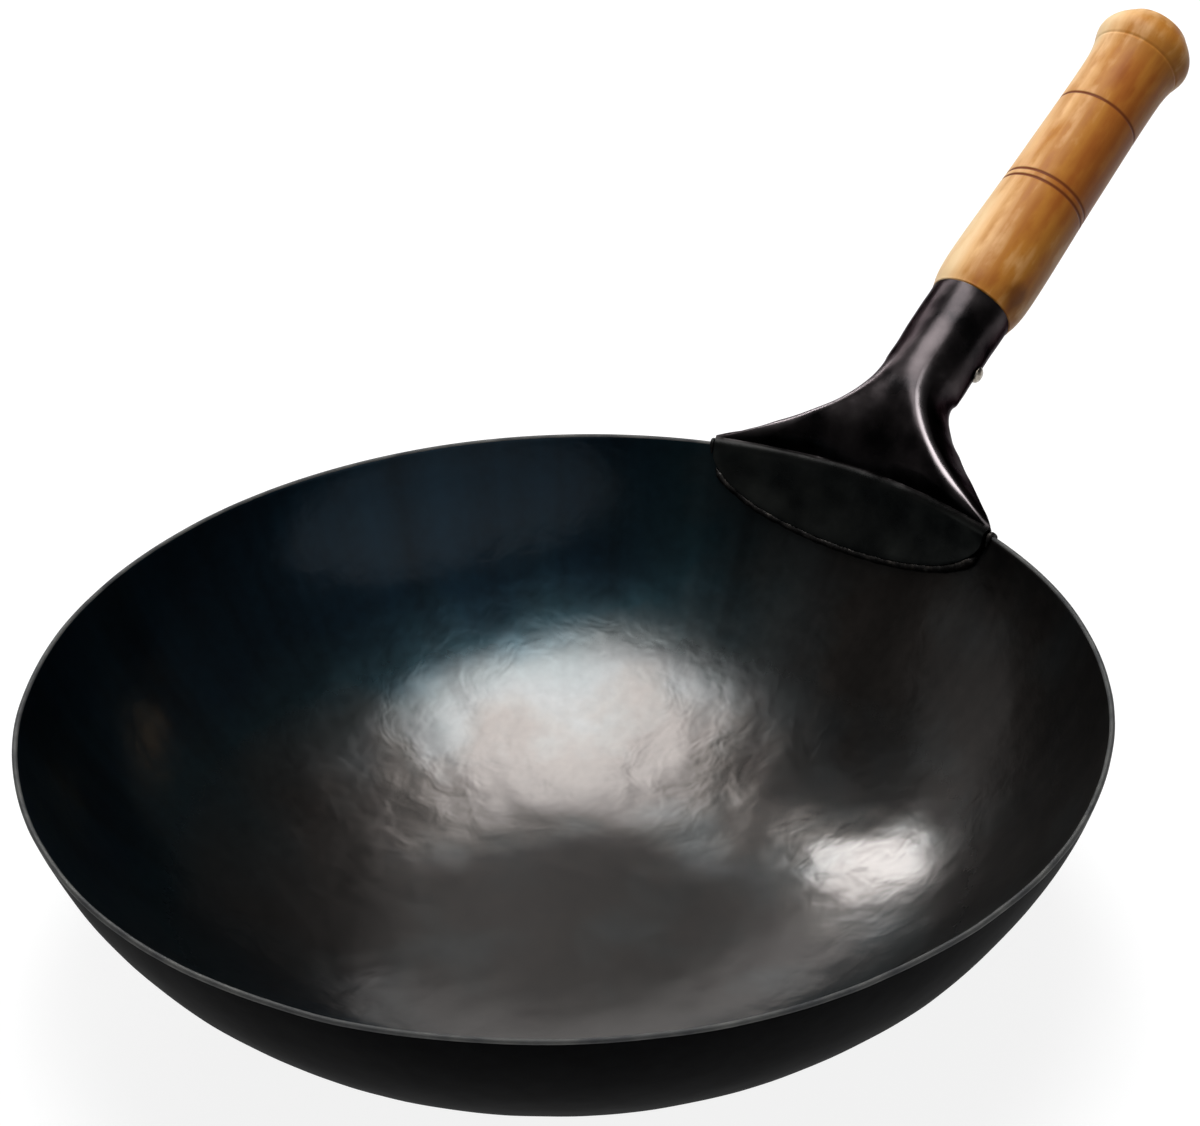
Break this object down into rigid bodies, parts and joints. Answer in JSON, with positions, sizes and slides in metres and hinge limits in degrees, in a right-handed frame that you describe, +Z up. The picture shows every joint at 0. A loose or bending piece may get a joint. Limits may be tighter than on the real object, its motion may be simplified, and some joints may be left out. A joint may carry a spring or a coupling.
{
  "type": "wok",
  "caption": "Hammered sheet-iron wok with a flat base, a rolled handle socket lapped and welded over the rim, and a turned wooden grip held by a nail.",
  "frame": {"origin": "centre of the underside of the flat base", "axes": "+X from the bowl's centre along the handle, +Z up, the nail on the -Y side"},
  "size_m": [0.5336, 0.34, 0.1959],
  "materials": {
    "bowl_iron": "blued and oiled hammered iron, satin sheen",
    "socket_iron": "blackened sheet iron with a faint purple-brown scale",
    "weld_metal": "rough dark weld bead",
    "grip_wood": "varnished, with scorched rings",
    "nail_steel": "hammered nail head"
  },
  "bodies": {
    "root": {"wok_bowl": "bowl_iron", "handle_socket": "socket_iron", "lap_weld_bead": "weld_metal", "outside_weld_bead": "weld_metal", "left_corner_weld": "weld_metal", "right_corner_weld": "weld_metal", "wooden_grip": "grip_wood", "retaining_nail": "nail_steel"}
  },
  "joints": []
}
